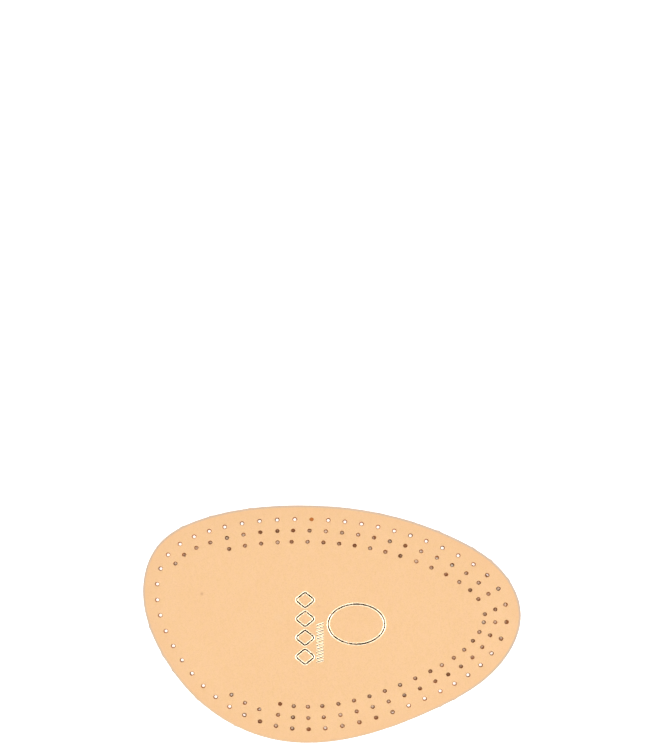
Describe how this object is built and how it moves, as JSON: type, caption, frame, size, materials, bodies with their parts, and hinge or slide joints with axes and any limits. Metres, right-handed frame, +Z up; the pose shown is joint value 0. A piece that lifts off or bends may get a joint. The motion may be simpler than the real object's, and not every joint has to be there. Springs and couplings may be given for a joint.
{
  "type": "leather half insole",
  "caption": "Left-foot leather half insole: a thin die-cut leather cover with rows of round holes along its rim, over a skived foam pad.",
  "frame": {"origin": "on the floor, at the middle of the insole's length and width", "axes": "+Z up out of the grain side, +X from the toe edge to the arch end, +Y to the big-toe side"},
  "size_m": [0.134, 0.0842, 0.0039],
  "materials": {
    "leather": "smooth undyed vegetable-tanned grain, matt, with faint cloudy mottling",
    "latex_foam": "fine-celled latex foam, matt greyish brown",
    "gold_foil": "pressed pale gold foil, worn dull in the bottom of the strokes"
  },
  "bodies": {
    "root": {"leather_cover": "leather", "foam_pad": "latex_foam"}
  },
  "joints": []
}
